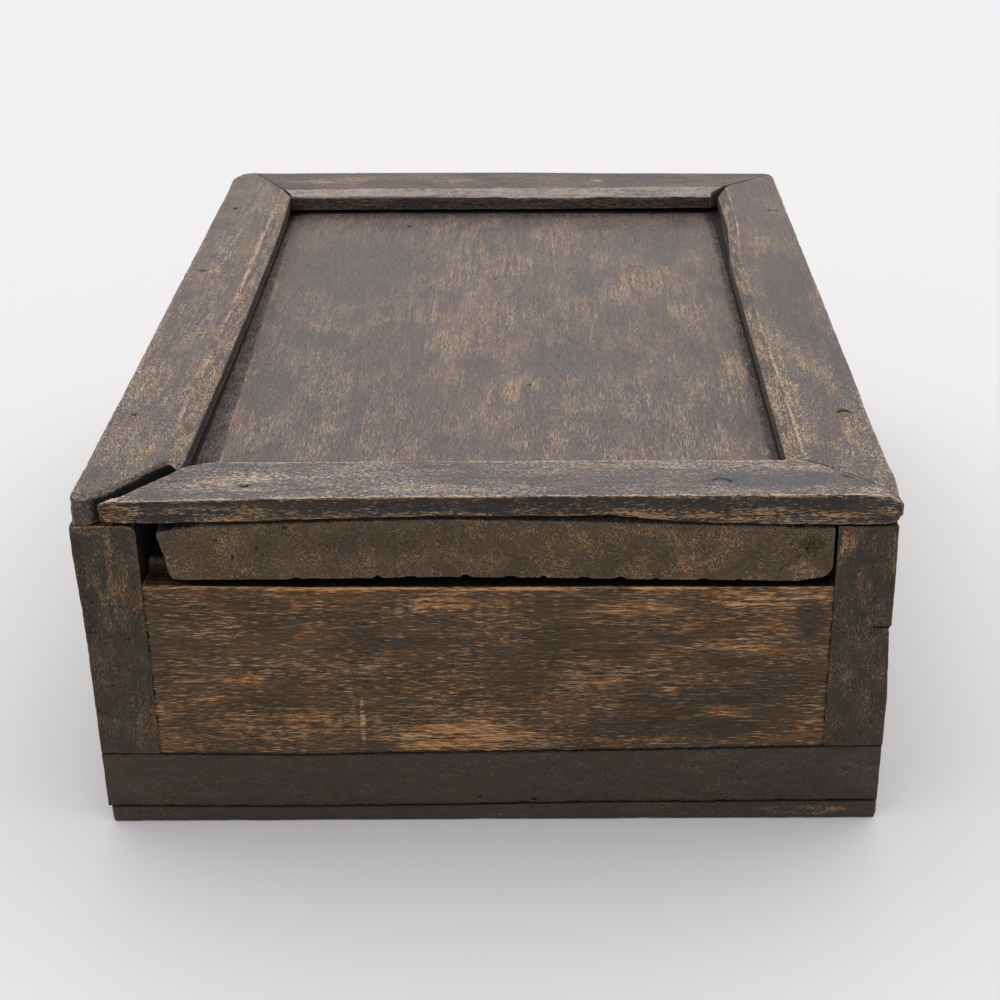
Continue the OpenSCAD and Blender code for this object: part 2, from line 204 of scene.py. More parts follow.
def makeBoard(name, body, finish, spec):
    low, high = cadCorners(spec["node"])
    low = low + np.array(spec.get("growLow", (0, 0, 0)))
    high = high + np.array(spec.get("growHigh", (0, 0, 0)))
    marks, bands, edges = spec.get("marks", ()), spec.get("bands", ()), spec.get("edges", {})
    fine = [[(m["at"][a], m["reach"], m["gap"]) for m in marks] for a in range(3)]
    exact = [list(places) for places in spec.get("exact", ((), (), ()))]
    for band in bands:
        for border in band["across"]:
            exact[band["axis"]] += [border - band["soft"] / 2, border + band["soft"] / 2]
    lines = [cutLines(low[a], high[a], spec["step"][a], exact[a], fine[a]) for a in range(3)]
    points, quads, sides = boxSkin(lines)
    seed = spec["seed"] * 7.31
    gaps = faceGaps(points, low, high)
    flat = points.copy()
    wear = np.full(len(points), float(spec.get("wear", 0.1)))
    grime, dirt = np.zeros(len(points)), np.zeros(len(points))

    # Edges: how round each is, how far its wear and its darkening reach
    uneven = lumps(points, 9, seed) * 0.5 + lumps(points, 2.6, seed + 3, 1) * 0.6
    chips = np.clip(lumps(points, 5, seed + 9) - 0.25, 0, 1)
    for i, one in enumerate(names):
        for two in names[i + 1:]:
            if faces[one][0] == faces[two][0]:
                continue
            edge = edges.get(one + two.title(), edges.get(two + one.title(), rim()))
            radius = edge["round"] * (1 + 0.5 * uneven) + edge["chip"] * chips
            away = gapTo(one, gaps) + gapTo(two, gaps)
            wear += edge["worn"] * smooth(1 - away / (edge["reach"] * (1 + 0.6 * uneven)).clip(0.3))
            dirt += edge["dirt"] * smooth(1 - away / (edge["dirtReach"] * (1 + 0.4 * uneven)).clip(1))
            roundArris(points, low, high, one, two, np.clip(radius, 0.03, 6.0))
    for side in spec.get("corners", ()):
        roundArris(points, low, high, side, "back", np.full(len(points), backRound[side]))
    for line in spec.get("wornLines", ()):               # ridges that aren't edges of the box
        moved = np.interp(points[:, 1], *line["moved"]) if "moved" in line else 0.0
        spot = [(a, v) for a, v in enumerate(line["at"]) if v is not None]
        away = sum(abs(points[:, a] - v - moved * (a == 0)) for a, v in spot)
        strong = np.interp(points[:, spec["grain"]], *line["along"]) if "along" in line else 1.0
        wear += line["worn"] * strong * smooth(1 - away / (line["reach"] * (1 + 0.8 * uneven)).clip(0.2))
    # painted shade, with some dirt, on the faces that sit in recesses: under the rails and the lid, and
    # inside the box
    for face, amount in spec.get("soilAndShade", {}).items():
        inside = np.sort(gaps, 1)[:, 1]
        dirt += amount * smooth(1 - gapTo(face, gaps) / 0.5) * smooth((inside - 0.3) / 0.9)
    if "cleanLeftOf" in spec:
        dirt *= smooth((points[:, 0] - spec["cleanLeftOf"]) / 2)
    if "cleanFace" in spec:                              # the bevel's face, free of dirt and painted shade above its foot
        onFace = gapTo(spec["cleanFace"], gaps) < 0.5
        dirt *= np.where(onFace, smooth((bevelFoot - flat[:, 2]) / 1.2 + 0.5), 1.0)
    # strips: painted shade along the gaps beside and under the rails, bare wood, and a painted sheen on the
    # back rail's bevel
    for band in bands:
        first, last = band["across"]
        across = flat[:, band["axis"]] + band["lean"] * (flat[:, 1] + 88)
        inside = smooth((across - first) / band["soft"] + 0.5) * smooth((last - across) / band["soft"] + 0.5)
        inside = inside * (gapTo("top", gaps) < band["deep"])
        rough = np.clip(1 + band["rough"] * uneven, 0, 2)
        wear += band["worn"] * inside * np.clip(1 + 1.2 * uneven, 0, 2)
        dirt += band["dirt"] * inside * rough
        grime += band["grime"] * inside * rough
    if "bend" in spec:
        points = spec["bend"](points, low, high)

    for kind, target in (("worn", wear), ("grime", grime), ("dirty", dirt)):
        for face, spots in spec.get(kind, {}).items():
            for x, y, sizeX, sizeY, amount in spots:
                target += amount * faceSpot(points, gaps, face, x, y, sizeX, sizeY, uneven)

    mesh = bpy.data.meshes.new(name)
    mesh.from_pydata((points / metre).tolist(), [], quads.tolist())
    mesh.update()
    normals = np.zeros(len(points) * 3, np.float32)
    mesh.vertex_normals.foreach_get("vector", normals)
    grain = np.array([1.0, 1.0, 1.0])
    grain[spec["grain"]] = 7.0
    sunk = 0.14 * (1 + lumps(points, 38, seed + 21)) + 0.07 * (1 + lumps(points, 4.0 * grain, seed + 5))
    sunk += 0.05 * (1 + lumps(points, 1.6 * grain, seed + 2, 1))
    push = normals.reshape(-1, 3) * np.clip(sunk, 0, None)[:, None]
    for face in spec.get("tight", ()):                   # faces that stay where they meet a neighbour
        held = gapTo(face, gaps) < 0.2
        if "loose" in spec:
            held = held * smooth((gapTo("front", gaps) - spec["loose"]) / 2)
        push[:, faces[face][0]] *= 1 - held
    points -= push
    for mark in marks:
        depth, dirtAndShadeShare, bare = markShape(flat, mark)
        axis, way = faces[mark["face"]]
        points[:, axis] -= way * depth
        dirt += dirtAndShadeShare
        wear += bare
    mesh.vertices.foreach_set("co", (points / metre).astype(np.float32).ravel())
    crisp = np.interp(points[:, 1], (-150, -90, 20, 140), spec.get("crisp", (1, 1, 1, 1)))
    paintTone(mesh, np.stack([np.clip(wear, 0, 2.5), np.clip(grime, 0, 1), np.clip(dirt, 0, 1), crisp], 1))
    for material in finish:
        mesh.materials.append(material)
    endFaces = [i for i, (axis, way) in enumerate(faces.values()) if axis == spec["grain"]]
    slots = np.isin(sides, endFaces).astype(int) * (len(finish) > 1)
    if "faceFinish" in spec:
        slots[sides == names.index(spec["faceFinish"])] = 2
    mesh.polygons.foreach_set("material_index", slots)
    mesh.update()
    board = addObject(name, mesh)
    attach(board, body)
    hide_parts(spec["node"])


# Finishes. The mesh's colour attribute "tone" holds wear in red, smooth grime and painted sheen in green, and
# dirt and painted shade in blue
class Tree:                        # a material's node tree, with short calls for the nodes used here
    def __init__(self, name):
        self.material = bpy.data.materials.new(name)
        self.material.use_nodes = True
        self.tree = self.material.node_tree
        self.shader = self.tree.nodes["Principled BSDF"]

    def add(self, kind):
        return self.tree.nodes.new("ShaderNode" + kind)

    def put(self, socket, value):
        if isinstance(value, bpy.types.NodeSocket):
            self.tree.links.new(value, socket)
        elif isinstance(value, tuple) and len(value) == 3 and socket.type == "RGBA":
            socket.default_value = (*value, 1)
        else:
            socket.default_value = value

    def putAll(self, sockets, values):
        for socket, value in zip(sockets, values):
            self.put(socket, value)

    def paint(self, name, value):              # sets one of the shader's own inputs
        self.put(self.shader.inputs[name], value)

    def maths(self, kind, one, two=0.0, three=0.0, clamp=False):
        node = self.add("Math")
        node.operation, node.use_clamp = kind, clamp
        self.putAll(node.inputs, (one, two, three))
        return node.outputs[0]

    def times(self, one, two, plus=None, clamp=False):
        if plus is None:
            return self.maths("MULTIPLY", one, two)
        return self.maths("MULTIPLY_ADD", one, two, plus, clamp)

    def spread(self, value, low, high, toLow=0.0, toHigh=1.0):
        node = self.add("MapRange")
        node.interpolation_type = "SMOOTHSTEP"
        self.putAll(node.inputs, (value, low, high, toLow, toHigh))
        return node.outputs[0]

    def mix(self, share, one, two, kind="MIX"):
        node = self.add("Mix")
        node.data_type, node.blend_type = "RGBA", kind
        self.putAll((node.inputs[0], node.inputs[6], node.inputs[7]), (share, one, two))
        return node.outputs[2]

    def ramp(self, value, colours):            # four colours, from low values to high ones
        node = self.add("ValToRGB")
        stops = node.color_ramp.elements
        while len(stops) < len(colours):
            stops.new(0.5)
        for stop, place, colour in zip(stops, (0.15, 0.4, 0.65, 0.95), colours):
            stop.position, stop.color = place, (*colour, 1)
        self.put(node.inputs[0], value)
        return node.outputs[0]

    def noise(self, size, shift=0.0, detail=2.0, rough=0.55):       # size is in millimetres on each axis
        where = self.add("TexCoord").outputs["Object"]
        scaled = self.add("VectorMath")
        scaled.operation = "MULTIPLY_ADD"
        self.put(scaled.inputs[0], where)
        scaled.inputs[1].default_value = [metre / s for s in size]
        scaled.inputs[2].default_value = (shift, shift * 1.7, shift * 0.6)
        node = self.add("TexNoise")
        self.put(node.inputs["Vector"], scaled.outputs[0])
        node.inputs["Scale"].default_value = 1.0
        node.inputs["Detail"].default_value = detail
        node.inputs["Roughness"].default_value = rough
        return node.outputs["Fac"]

    def tone(self):                # wear, grime with painted sheen, dirt with painted shade, and crispness
        source = self.add("Attribute")
        source.attribute_name = "tone"
        parts = self.add("SeparateColor")
        self.put(parts.inputs[0], source.outputs["Color"])
        return parts.outputs[0], parts.outputs[1], parts.outputs[2], source.outputs["Alpha"]


coldCast = (0.91, 1.0, 1.08)
warmCast = (1.09, 1.0, 0.92)
# near-black colour of dirt and of painted shade in recesses and gaps
dirtAndShadeColour = (0.009, 0.0078, 0.007)


def woodFinish(name, base, **changes):
    t = Tree(name)
    look = dict(base, **changes)
    width, length = look["fibre"]
    wide, long = look["patch"]
    grain = look["grain"]                      # axis of the grain, or None on end grain
    shift = look.get("shift", 0.0)

    def lively(across, along, move, detail=2.0, rough=0.55):      # noise from about -1 to 1
        size = [along if a == grain else across for a in range(3)]
        return t.times(t.noise(size, shift + move, detail, rough), 7.0, -3.5)

    fibre = lively(width, length, 0.0, 1.5, 0.5)
    fine = lively(width * 0.6, length * 0.35, 4.1, 1.0, 0.5)
    streak = lively(width * 4, length * 7, 8.3, 2.0)
    patch = lively(wide, long, 12.7, 4.0, 0.6)
    tint = lively(wide * 0.5, long * 0.6, 17.9, 3.0, 0.6)
    wear, grime, dirt, crisp = t.tone()
    dash = t.times(fine, 0.8, fibre)
    rubbed = t.times(tint, 0.3, t.times(streak, 0.8, t.times(fibre, 0.6)))
    broken = t.times(wear, t.spread(rubbed, -1.0, 1.3, 0.1, 2.0))
    bare = t.times(patch, look["patchShare"], t.times(streak, look["streakShare"]))
    bare = t.times(broken, look["wearShare"], bare)
    bare = t.times(grime, -look["grimeAndSheenShare"], bare)
    calm = lively(wide * 0.7, long * 0.7, 27.1, 3.0, 0.6)
    strong = t.spread(t.times(bare, 2.5, calm), -1.0, 1.0, 0.45, 1.5)
    strong = t.times(t.times(strong, crisp), look["fibreShare"])
    # pale flecks: pale fibres, with painted glints
    spark = t.times(calm, 0.3, lively(width * 1.3, length * 1.2, 21.3, 0.0))
    spark = t.times(t.spread(t.times(bare, 2.0, spark), 1.1, 1.6), crisp)
    spark = t.times(spark, look["spark"], look["level"])
    level = t.maths("ADD", t.times(dash, strong, bare), spark)
    hue = lively(width * 5, length * 2.5, 33.7, 3.0, 0.6)
    warm = t.times(tint, look["tintShare"], t.times(patch, 0.35, broken))
    warm = t.times(hue, look["hueShare"], warm)
    warm = t.times(grime, -0.8, t.maths("ADD", warm, look["warmth"]))
    body = t.mix(t.spread(warm, 0.1, 1.1), t.ramp(level, look["aged"]), t.ramp(level, look["worn"]))
    cover = t.times(grime, t.spread(dash, -0.5, 1.4, look["grimeCover"], look["grimeCover"] * 0.35))
    body = t.mix(cover, body, look["grime"])
    pores = t.spread(lively(width * 0.9, length * 1.2, 6.6, 1.0), -1.2, -0.7, 1.0, 0.0)
    body = t.mix(t.times(pores, look["pores"]), body, look["pore"])
    cast = t.spread(lively(width * 6, length * 3, 51.3, 3.0, 0.65), -1.1, 1.1)
    body = t.mix(1.0, body, t.mix(cast, coldCast, warmCast), "MULTIPLY")
    speck = t.times(lively(0.4, 2.0, 41.9, 1.0), 1.6)
    speck = t.times(speck, t.times(dirt, t.maths("SUBTRACT", 1.0, dirt)))
    # darkening by dirt and by painted shade, speckled
    dirtAndShadeShare = t.times(t.maths("ADD", dirt, speck, clamp=True), 0.95)
    sheen = t.spread(level, 0.1, 1.0, look["gloss"], look["gloss"] + 0.25)
    sheen = t.times(dirt, 0.45, t.times(grime, -0.08, sheen), clamp=True)
    bump = t.add("Bump")
    bump.inputs["Strength"].default_value = 1.0
    bump.inputs["Distance"].default_value = look["bump"] / metre
    t.put(bump.inputs["Height"], t.times(pores, -0.8, t.times(streak, 0.6, dash)))
    t.paint("Base Color", t.mix(dirtAndShadeShare, body, dirtAndShadeColour))
    t.paint("Roughness", sheen)
    t.paint("Specular IOR Level", look["shine"])
    t.paint("Normal", bump.outputs[0])
    return t.material


def shades(*rows):                 # colours written in thousandths
    return [tuple(v / 1000 for v in row) for row in rows]


# Each finish has two rows of colours, from its hollows to its rubbed fibres: aged wood and bared wood
baseLook = dict(
    fibre=(0.2, 2.2), patch=(12, 30), level=0.43, fibreShare=0.15, patchShare=0.09, streakShare=0.06,
    wearShare=0.2, grimeAndSheenShare=0.12, grimeCover=0.75, gloss=0.45, shine=0.2, bump=0.05, pores=0.5, warmth=0.1,
    spark=0.4, hueShare=0.3, tintShare=0.6,
    aged=shades((45, 28, 15), (84, 54, 33), (190, 117, 66), (550, 335, 180)),
    worn=shades((75, 32, 9), (145, 69, 26), (310, 150, 57), (700, 370, 170)), grime=(0.046, 0.038, 0.033),
    pore=(0.014, 0.011, 0.009))
lidLook = dict(
    baseLook, fibre=(0.28, 2.8), fibreShare=0.18, shine=0.5, gloss=0.4, bump=0.08, warmth=0.4, spark=0.23,
    hueShare=0.6, tintShare=0.45, patchShare=0.06, streakShare=0.08, wearShare=0.16,
    grime=(0.114, 0.104, 0.1), aged=shades((98, 77, 71), (149, 116, 106), (205, 156, 138), (380, 296, 250)),
    worn=shades((125, 85, 63), (187, 137, 108), (290, 202, 152), (500, 350, 250)))
# the rails' wood: lighter and greyer than the walls' wood, with the sheen on the rails' tops painted into its
# colour
railSheenLook = dict(
    lidLook, fibre=(0.3, 0.9), bump=0.14, fibreShare=0.31, grime=(0.14, 0.133, 0.131), spark=0.34,
    wearShare=0.22, hueShare=0.55,
    aged=shades((80, 62, 57), (180, 141, 129), (270, 208, 185), (550, 440, 370)),
    worn=shades((100, 63, 42), (225, 155, 116), (380, 262, 185), (740, 540, 380)))
insideLook = dict(
    lidLook, shine=0.25, gloss=0.5,
    aged=shades((85, 60, 42), (130, 92, 66), (180, 126, 90), (340, 240, 170)),
    worn=shades((110, 65, 37), (170, 108, 68), (250, 158, 100), (450, 300, 190)))
endLook = dict(
    baseLook, grain=2, fibre=(0.3, 0.9), patch=(8, 14), gloss=0.6, pores=0.7, bump=0.08, spark=0.25,
    wearShare=0.16, aged=shades((42, 34, 26), (70, 57, 43), (110, 84, 62), (280, 200, 140)),
    worn=shades((55, 34, 20), (100, 64, 38), (170, 104, 60), (380, 250, 150)))
wood = dict(
    railY=woodFinish("rail_wood_side", railSheenLook, grain=1, fibre=(0.3, 1.5), level=0.45),
    # its grime colour is pale: a painted sheen on the back rail's bevel
    railXWithSheen=woodFinish(
        "rail_wood_cross_sheen", railSheenLook, grain=0, shift=3, grime=(0.84, 0.74, 0.69), grimeCover=0.95,
        patchShare=0.12, level=0.38),
    # the front rail's top: pale rows, which paint a sheen on the top and a highlight along the worn top front
    # edge
    railFrontSheen=woodFinish(
        "front_rail_wood_sheen", railSheenLook, grain=0, shift=3.5, fibre=(0.3, 1.1), fibreShare=0.3, spark=0.45,
        patchShare=0.04, streakShare=0.06, grime=(0.142, 0.138, 0.142),
        aged=shades((100, 86, 86), (190, 157, 153), (300, 242, 225), (800, 680, 610)),
        worn=shades((110, 76, 60), (220, 163, 140), (420, 310, 245), (950, 740, 570))),
    railFace=woodFinish(
        "front_rail_face", baseLook, grain=0, shift=3.5, fibre=(0.28, 1.6), fibreShare=0.2, bump=0.18,
        shine=0.4, gloss=0.36, grime=(0.032, 0.027, 0.025),
        aged=shades((18, 12, 8), (52, 36, 26), (115, 82, 60), (500, 380, 290)),
        worn=shades((38, 18, 8), (95, 53, 28), (210, 120, 62), (620, 380, 200))),
    railEnd=woodFinish(
        "rail_wood_end", endLook, shift=4, shine=0.35,
        aged=shades((50, 40, 33), (95, 78, 66), (150, 118, 98), (340, 270, 210))),
    lid=woodFinish("lid_wood_top", lidLook, grain=1, shift=5, level=0.445, wearShare=0.145, patchShare=0.08),
    lidEnd=woodFinish(
        "lid_wood_end", endLook, grain=None, fibre=(0.4, 0.4), shift=5.5, spark=0.12, fibreShare=0.1,
        aged=shades((66, 46, 27), (114, 80, 51), (175, 120, 78), (420, 280, 170)),
        worn=shades((70, 43, 22), (130, 83, 46), (215, 132, 70), (460, 280, 155))),
    front=woodFinish(
        "front_wood", baseLook, grain=0, shift=7, fibre=(0.2, 3), patchShare=0.07, hueShare=0.25,
        warmth=0.03),
    side=woodFinish("side_wood", baseLook, grain=1, shift=9),
    end=woodFinish("side_wood_end", endLook, shift=9.5),
    floor=woodFinish(
        "floor_wood", baseLook, grain=0, shift=12, fibre=(0.35, 0.8), fibreShare=0.12, patchShare=0.05,
        spark=0.1, warmth=-0.1, aged=shades((42, 34, 25), (63, 52, 39), (88, 71, 55), (200, 160, 120)),
        worn=shades((45, 27, 14), (70, 47, 29), (110, 70, 42), (300, 190, 110))),
    inside=woodFinish("inside_wood", insideLook, grain=1, shift=14),
    insideX=woodFinish("inside_wood_cross", insideLook, grain=0, shift=15),
    peg=woodFinish(
        "peg_wood", endLook, shift=16,
        aged=shades((200, 120, 70), (340, 205, 115), (450, 280, 160), (600, 400, 250)),
        worn=shades((200, 110, 50), (360, 200, 95), (480, 280, 140), (650, 420, 240))))
print("finishes", len(wood))

# Walls and floor. The waves are the worn seams' heights across the front of the box
floorWave = ((-110, -54, 31, 110), (-0.3, -1.1, 0, 1.1))
underWave = ((-110, -54, 31, 110), (-0.1, -0.4, 0.5, 0.8))
leftBulge = ((5, 15, 28, 61, 75, 86, 95), (0.4, 1, 1.1, 1, 1.4, 1.8, 1.8))
rightBulge = ((5, 20, 40, 59, 62.5, 63.5, 66, 95), (0.9, 1.1, 1.2, 0.3, 0, 0.8, 0.7, 0.4))


def waveBend(onTop=None, onBottom=None):       # worn seams: the edges rise and fall at the front
    def bend(points, low, high):
        x, z = points[:, 0], points[:, 2]
        up = (z - low[2]) / (high[2] - low[2])
        near = nearFront(points, 14)
        for wave, share in ((onTop, up), (onBottom, 1 - up)):
            if wave:
                z += np.interp(x, *wave) * share * near
        return points
    return bend


def sideBend(side, onTop=None, onBottom=None):       # and the side boards swell outwards
    waves = waveBend(onTop, onBottom)

    def bend(points, low, high):
        x, z = points[:, 0], points[:, 2]
        swell = np.interp(z, *(leftBulge if side < 0 else rightBulge))
        outer = (x - low[0]) / (high[0] - low[0])
        outer = 1 - outer if side < 0 else outer
        x += side * swell * outer * nearFront(points, 150.0)
        return waves(points, low, high)
    return bend


floorPair = [wood["floor"], wood["end"]]
makeBoard("underBoard", "box", floorPair, dict(
    node="under_board", seed=1, grain=0, step=(2.2, 2.6, 1.6), wear=-0.4, growLow=(0, -0.5, 0),
    growHigh=(0.8, 0, 0), corners=("left", "right"),
    edges=dict(
        topFront=rim(0.3, 0.3, chip=0.3), bottomFront=rim(0.5, 0.1), leftFront=rim(1.6), rightFront=rim(1.6),
        bottomLeft=rim(1.4), bottomRight=rim(1.4), bottomBack=rim(1)),
    worn=dict(front=[
        (90, 3, 19, 2.2, 2), (60, 2, 12, 1.5, 0.8), (-90, 3, 10, 2, 0.6), (-20, 2, 30, 1.5, 0.3)]),
    bend=waveBend(onTop=underWave)))
makeBoard("floorBoard", "box", floorPair, dict(
    node="floor_board", seed=2, grain=0, step=(2.2, 2.6, 1.6), wear=-0.2, growLow=(-1, 0, 0),
    growHigh=(0.8, 0, 0), corners=("left", "right"),
    edges=dict(
        topFront=rim(0.4, 0, chip=0.8, dirt=0.7, dirtReach=0.6),
        bottomFront=rim(0.3, 0, dirt=0.6, dirtReach=0.6)),
    marks=[dent("front", x, 5.1, wide, 0.5, 0.9, reach=2, gap=0.5) for x, wide in (
        (-92, 0.9), (-71, 1.3), (-38, 0.8), (-3, 1), (9, 1.6), (24, 0.9), (37, 1.4), (52, 0.8), (66, 1.2),
        (83, 1.5), (97, 0.9))]
    + [dent("front", -3.5, 7.6, 0.6, 0.5, 0.6), dent("front", 12, 6.4, 1.3, 0.4, 0.6, turn=-20)],
    bend=waveBend(floorWave, underWave)))
sidePair = [wood["side"], wood["end"]]
leftSide = dict(seed=4, grain=1, step=(1.5, 2.6, 1.5), corners=("left",))
rightSide = dict(leftSide, seed=6, corners=("right",))
closed = rim(0.03, 0, chip=0)
makeBoard("leftSideLower", "box", sidePair, dict(
    # painted shade on its inner face
    leftSide, node="left_side_lower", wear=-0.1, growHigh=(0, 0, 0.3), soilAndShade=dict(right=0.6),
    tight=("right", "top", "bottom"),
    edges=dict(topFront=closed, topLeft=closed, leftFront=rim(0.8, 0.2), rightFront=rim(0.25, 0, chip=0.4)),
    marks=[dent("front", -99, 60.8, 1.5, 0.32, 0.7), dent("front", -109.5, 37.6, 1.2, 0.5, 0.8)],
    bend=sideBend(-1, None, floorWave)))
makeBoard("leftSideUpper", "box", sidePair, dict(
    # painted shade on its inner face and on its top under the rail
    leftSide, node="left_side_upper", wear=-0.05, soilAndShade=dict(right=1, top=0.8), tight=("right", "bottom"),
    edges=dict(
        bottomFront=closed, bottomLeft=closed, leftFront=rim(0.8, 0.2), topFront=rim(0.5, 2, reach=0.7),
        rightFront=rim(0.4, 0.3), topRight=rim(2.6, 0.4)),
    worn=dict(front=[(-103, 83, 9, 15, 0.55), (-101, 72, 6, 10, 0.3), (-104, 93.5, 4, 2, 0.4)]),
    dirty=dict(front=[(-109, 72, 2.5, 18, 0.2), (-96, 70, 2, 18, 0.15)]),
    marks=[dent("front", -105.6, 94.9, 1.3, 1.3, 0.9, dirt=0.1, scratch=1.6, bare=1.2, bareReach=2.4)],
    bend=sideBend(-1)))
makeBoard("rightSideLower", "box", sidePair, dict(
    # painted shade on its inner face
    rightSide, node="right_side_lower", wear=-0.1, growHigh=(0, 0, 0.3), soilAndShade=dict(left=0.6),
    tight=("left", "top", "bottom"),
    edges=dict(topFront=closed, topRight=closed, rightFront=rim(0.8, 0.2), leftFront=rim(0.25, 0, chip=0.4)),
    bend=sideBend(1, None, floorWave)))
makeBoard("rightSideUpper", "box", sidePair, dict(
    # painted shade on its inner face and on its top under the rail
    rightSide, node="right_side_upper", wear=-0.08, soilAndShade=dict(left=1, top=0.8), tight=("left", "bottom"),
    edges=dict(
        bottomFront=closed, bottomRight=closed, rightFront=rim(0.8, 0.2), topFront=rim(0.5, 0.3, reach=1),
        leftFront=rim(0.3, 0.2)),
    worn=dict(front=[(96.5, 89, 2.8, 4.5, 1.3), (99, 82, 6, 12, 0.3), (104, 67, 6, 6, 0.3)]),
    dirty=dict(front=[(100, 58, 10, 16, 0.12), (106, 80, 4, 12, 0.1)]),
    marks=[dent("front", 107.5, 63.2, 3.2, 0.4, 0.8)], bend=sideBend(1, ((90, 110), (-1.1, -1.1)))))
seamPits = [
    (-1, 72, 0.6), (-1, 66, 0.5), (-1, 61, 1.4), (-1, 56.5, 0.6), (-1, 48, 0.7), (-1, 43, 1.2),
    (-1, 35, 0.6), (1, 70, 1.2), (1, 64, 0.9), (1, 59.5, 1.6), (1, 54, 1), (1, 47, 0.8), (1, 40, 1.5),
    (1, 33, 0.7)]
makeBoard("frontBoard", "box", [wood["front"], wood["end"]], dict(
    node="front_board", seed=11, grain=0, step=(1.5, 2, 1.3), wear=0.02,
    edges=dict(
        topFront=rim(0.5, 3, reach=1.2), bottomFront=rim(0.4, 0, chip=1.2, dirt=0.9, dirtReach=0.8),
        leftFront=rim(0.15, 0, chip=0.5, dirt=0.5, dirtReach=1),
        rightFront=rim(0.15, 0, chip=0.8, dirt=0.6, dirtReach=1)),
    # painted shade on its top under the lid and on its back, less of it on the top in the hollow at the left
    soilAndShade=dict(top=1, back=0.4), tight=("left", "right", "bottom"), growLow=(-0.05, 0, 0),
    growHigh=(0.05, 0, 0), dirty=dict(top=[(-88, -147, 9, 6, -0.35)]),
    marks=[dent("front", -36, 34, 0.8, 9.5, 0.1, dirt=0, scratch=1.8)]
    + [dent("front", side * 93.9, z, 0.45, long, 0.5) for side, z, long in seamPits],
    worn=dict(front=[
        (-8, 28.5, 33, 6.5, 1), (-60, 33, 32, 7, 0.5), (-15, 72, 13, 5, 0.6), (77, 72, 19, 5, 0.9),
        (75, 64, 6, 7, 0.4), (28, 50, 14, 10, 0.25), (66, 58, 12, 4.5, 0.5), (-80, 45, 16, 8, 0.2),
        (66, 37, 8, 3, 0.3), (50, 44, 3, 1.6, 0.8), (-55, 68, 28, 5, 0.2), (38, 70, 20, 4, 0.3),
        (3, 36, 18, 4, 0.4)]),
    grime=dict(front=[
        (88, 66, 6, 8, 1), (77, 51, 14, 4.5, 0.5), (58, 41, 28, 4.5, 0.5), (50, 31, 40, 4.5, 0.7),
        (-80, 34, 10, 5, 0.5), (-10, 56, 26, 7, 0.3), (-36, 58, 9, 7, 0.5), (80, 40, 16, 10, 0.4)]),
    bend=waveBend(((-94, -51, 17, 93), (1.1, 0.1, -0.1, -0.5)), floorWave)))
makeBoard("backBoard", "box", [wood["front"], wood["end"]], dict(
    node="back_board", seed=12, grain=0, step=(2.4, 3, 2), wear=0,
    worn=dict(back=[(20, 60, 40, 12, 0.5), (-50, 40, 30, 10, 0.4)])))

# What is inside: two runners for the lid and the thin boards of the compartments
makeBoard("leftRunner", "box", [wood["inside"]], dict(
    node="left_runner", seed=15, grain=1, step=(2, 4, 1.5), wear=-0.2,
    # painted shade on its front and left faces, and on its top where it lies deep under the lid's edge,
    # strongest at the front
    edges=dict(topFront=rim(3, 1.2, reach=4, chip=0)), growHigh=(0, 0, 1.2), soilAndShade=dict(front=0.3, left=1),
    bands=[strip(1, -137.5, -116, 2, deep=3, dirt=1, rough=0), strip(1, -116, -84, 14, deep=3, dirt=0.6)]))
makeBoard("rightRunner", "box", [wood["inside"]], dict(
    node="right_runner", seed=14, grain=1, step=(2, 4, 1.5), wear=-0.2,
    # painted shade on its front end
    edges=dict(topFront=rim(2.6, 0, chip=0)), soilAndShade=dict(front=1)))
makeBoard("longDivider", "box", [wood["inside"]], dict(
    node="long_divider", seed=16, grain=1, step=(2, 4, 3), wear=0,
    edges=dict(topLeft=rim(worn=0.6), topRight=rim(worn=0.6))))
notch = dict(end=77.8, top=70.6, slot=3.1)


def bendDivider(points, low, high):            # lower under the runners and where the long board crosses it
    x, z = points[:, 0], points[:, 2]
    away = abs(x)
    share = (z - low[2]) / (high[2] - low[2])
    z -= share * np.where(away > notch["end"], high[2] - notch["top"], 0)
    z -= share * np.where(away < notch["slot"], 0.4, 0)
    return points


crossLines = [side * (notch[key] + step)
              for side in (-1, 1) for key in ("end", "slot") for step in (-0.1, 0.1)]
for place, seed in (("front", 17), ("rear", 18)):
    makeBoard(place + "Divider", "box", [wood["insideX"]], dict(
        node="cross_divider_" + place, seed=seed, grain=0, step=(4, 2, 3), exact=(crossLines, (), ()),
        edges=dict(topFront=rim(worn=0.6), topBack=rim(worn=0.6)), bend=bendDivider))
print("walls and inside")

# Rails
bevel = dict(width=3.5, height=3.15)
hollow = 1.3                       # height of the hollow under the rails where the lid's edge runs
taper = 40.0                       # how far along a rail its cut end moves the points
leftHigh = cadCorners("left_rail")[1]
rightLow, rightHigh = cadCorners("right_rail")
backLow, backHigh = cadCorners("back_rail")
frontHigh = cadCorners("front_rail")[1]


def cutEnds(points, axis, low, high, start, stop):     # moves both ends to their slanted cuts
    along = points[:, axis].copy()
    points[:, axis] += (start - low[axis]) * np.clip(1 - (along - low[axis]) / taper, 0, 1)
    points[:, axis] += (stop - high[axis]) * np.clip(1 - (high[axis] - along) / taper, 0, 1)


def dropTip(points, up):               # the worn front right corner of the frame
    x, y = points[:, 0], points[:, 1]
    drop = 1.2 * smooth((x - 100.0) / 10) + 2.4 * np.clip((x - 106.3) / 4, 0, 1) ** 2
    points[:, 2] -= drop * up * smooth((-138.5 - y) / 11)
    points[:, 0] += 0.9 * smooth((x - 99.0) / 10) * np.clip((-128 - y) / 22, 0, 1)


still = ((0,), (0,))               # no movement at any place along a board
boxLow = np.array((-halfWidth, -halfDepth, 0))
boxHigh = np.array((halfWidth, halfDepth, boxTop))


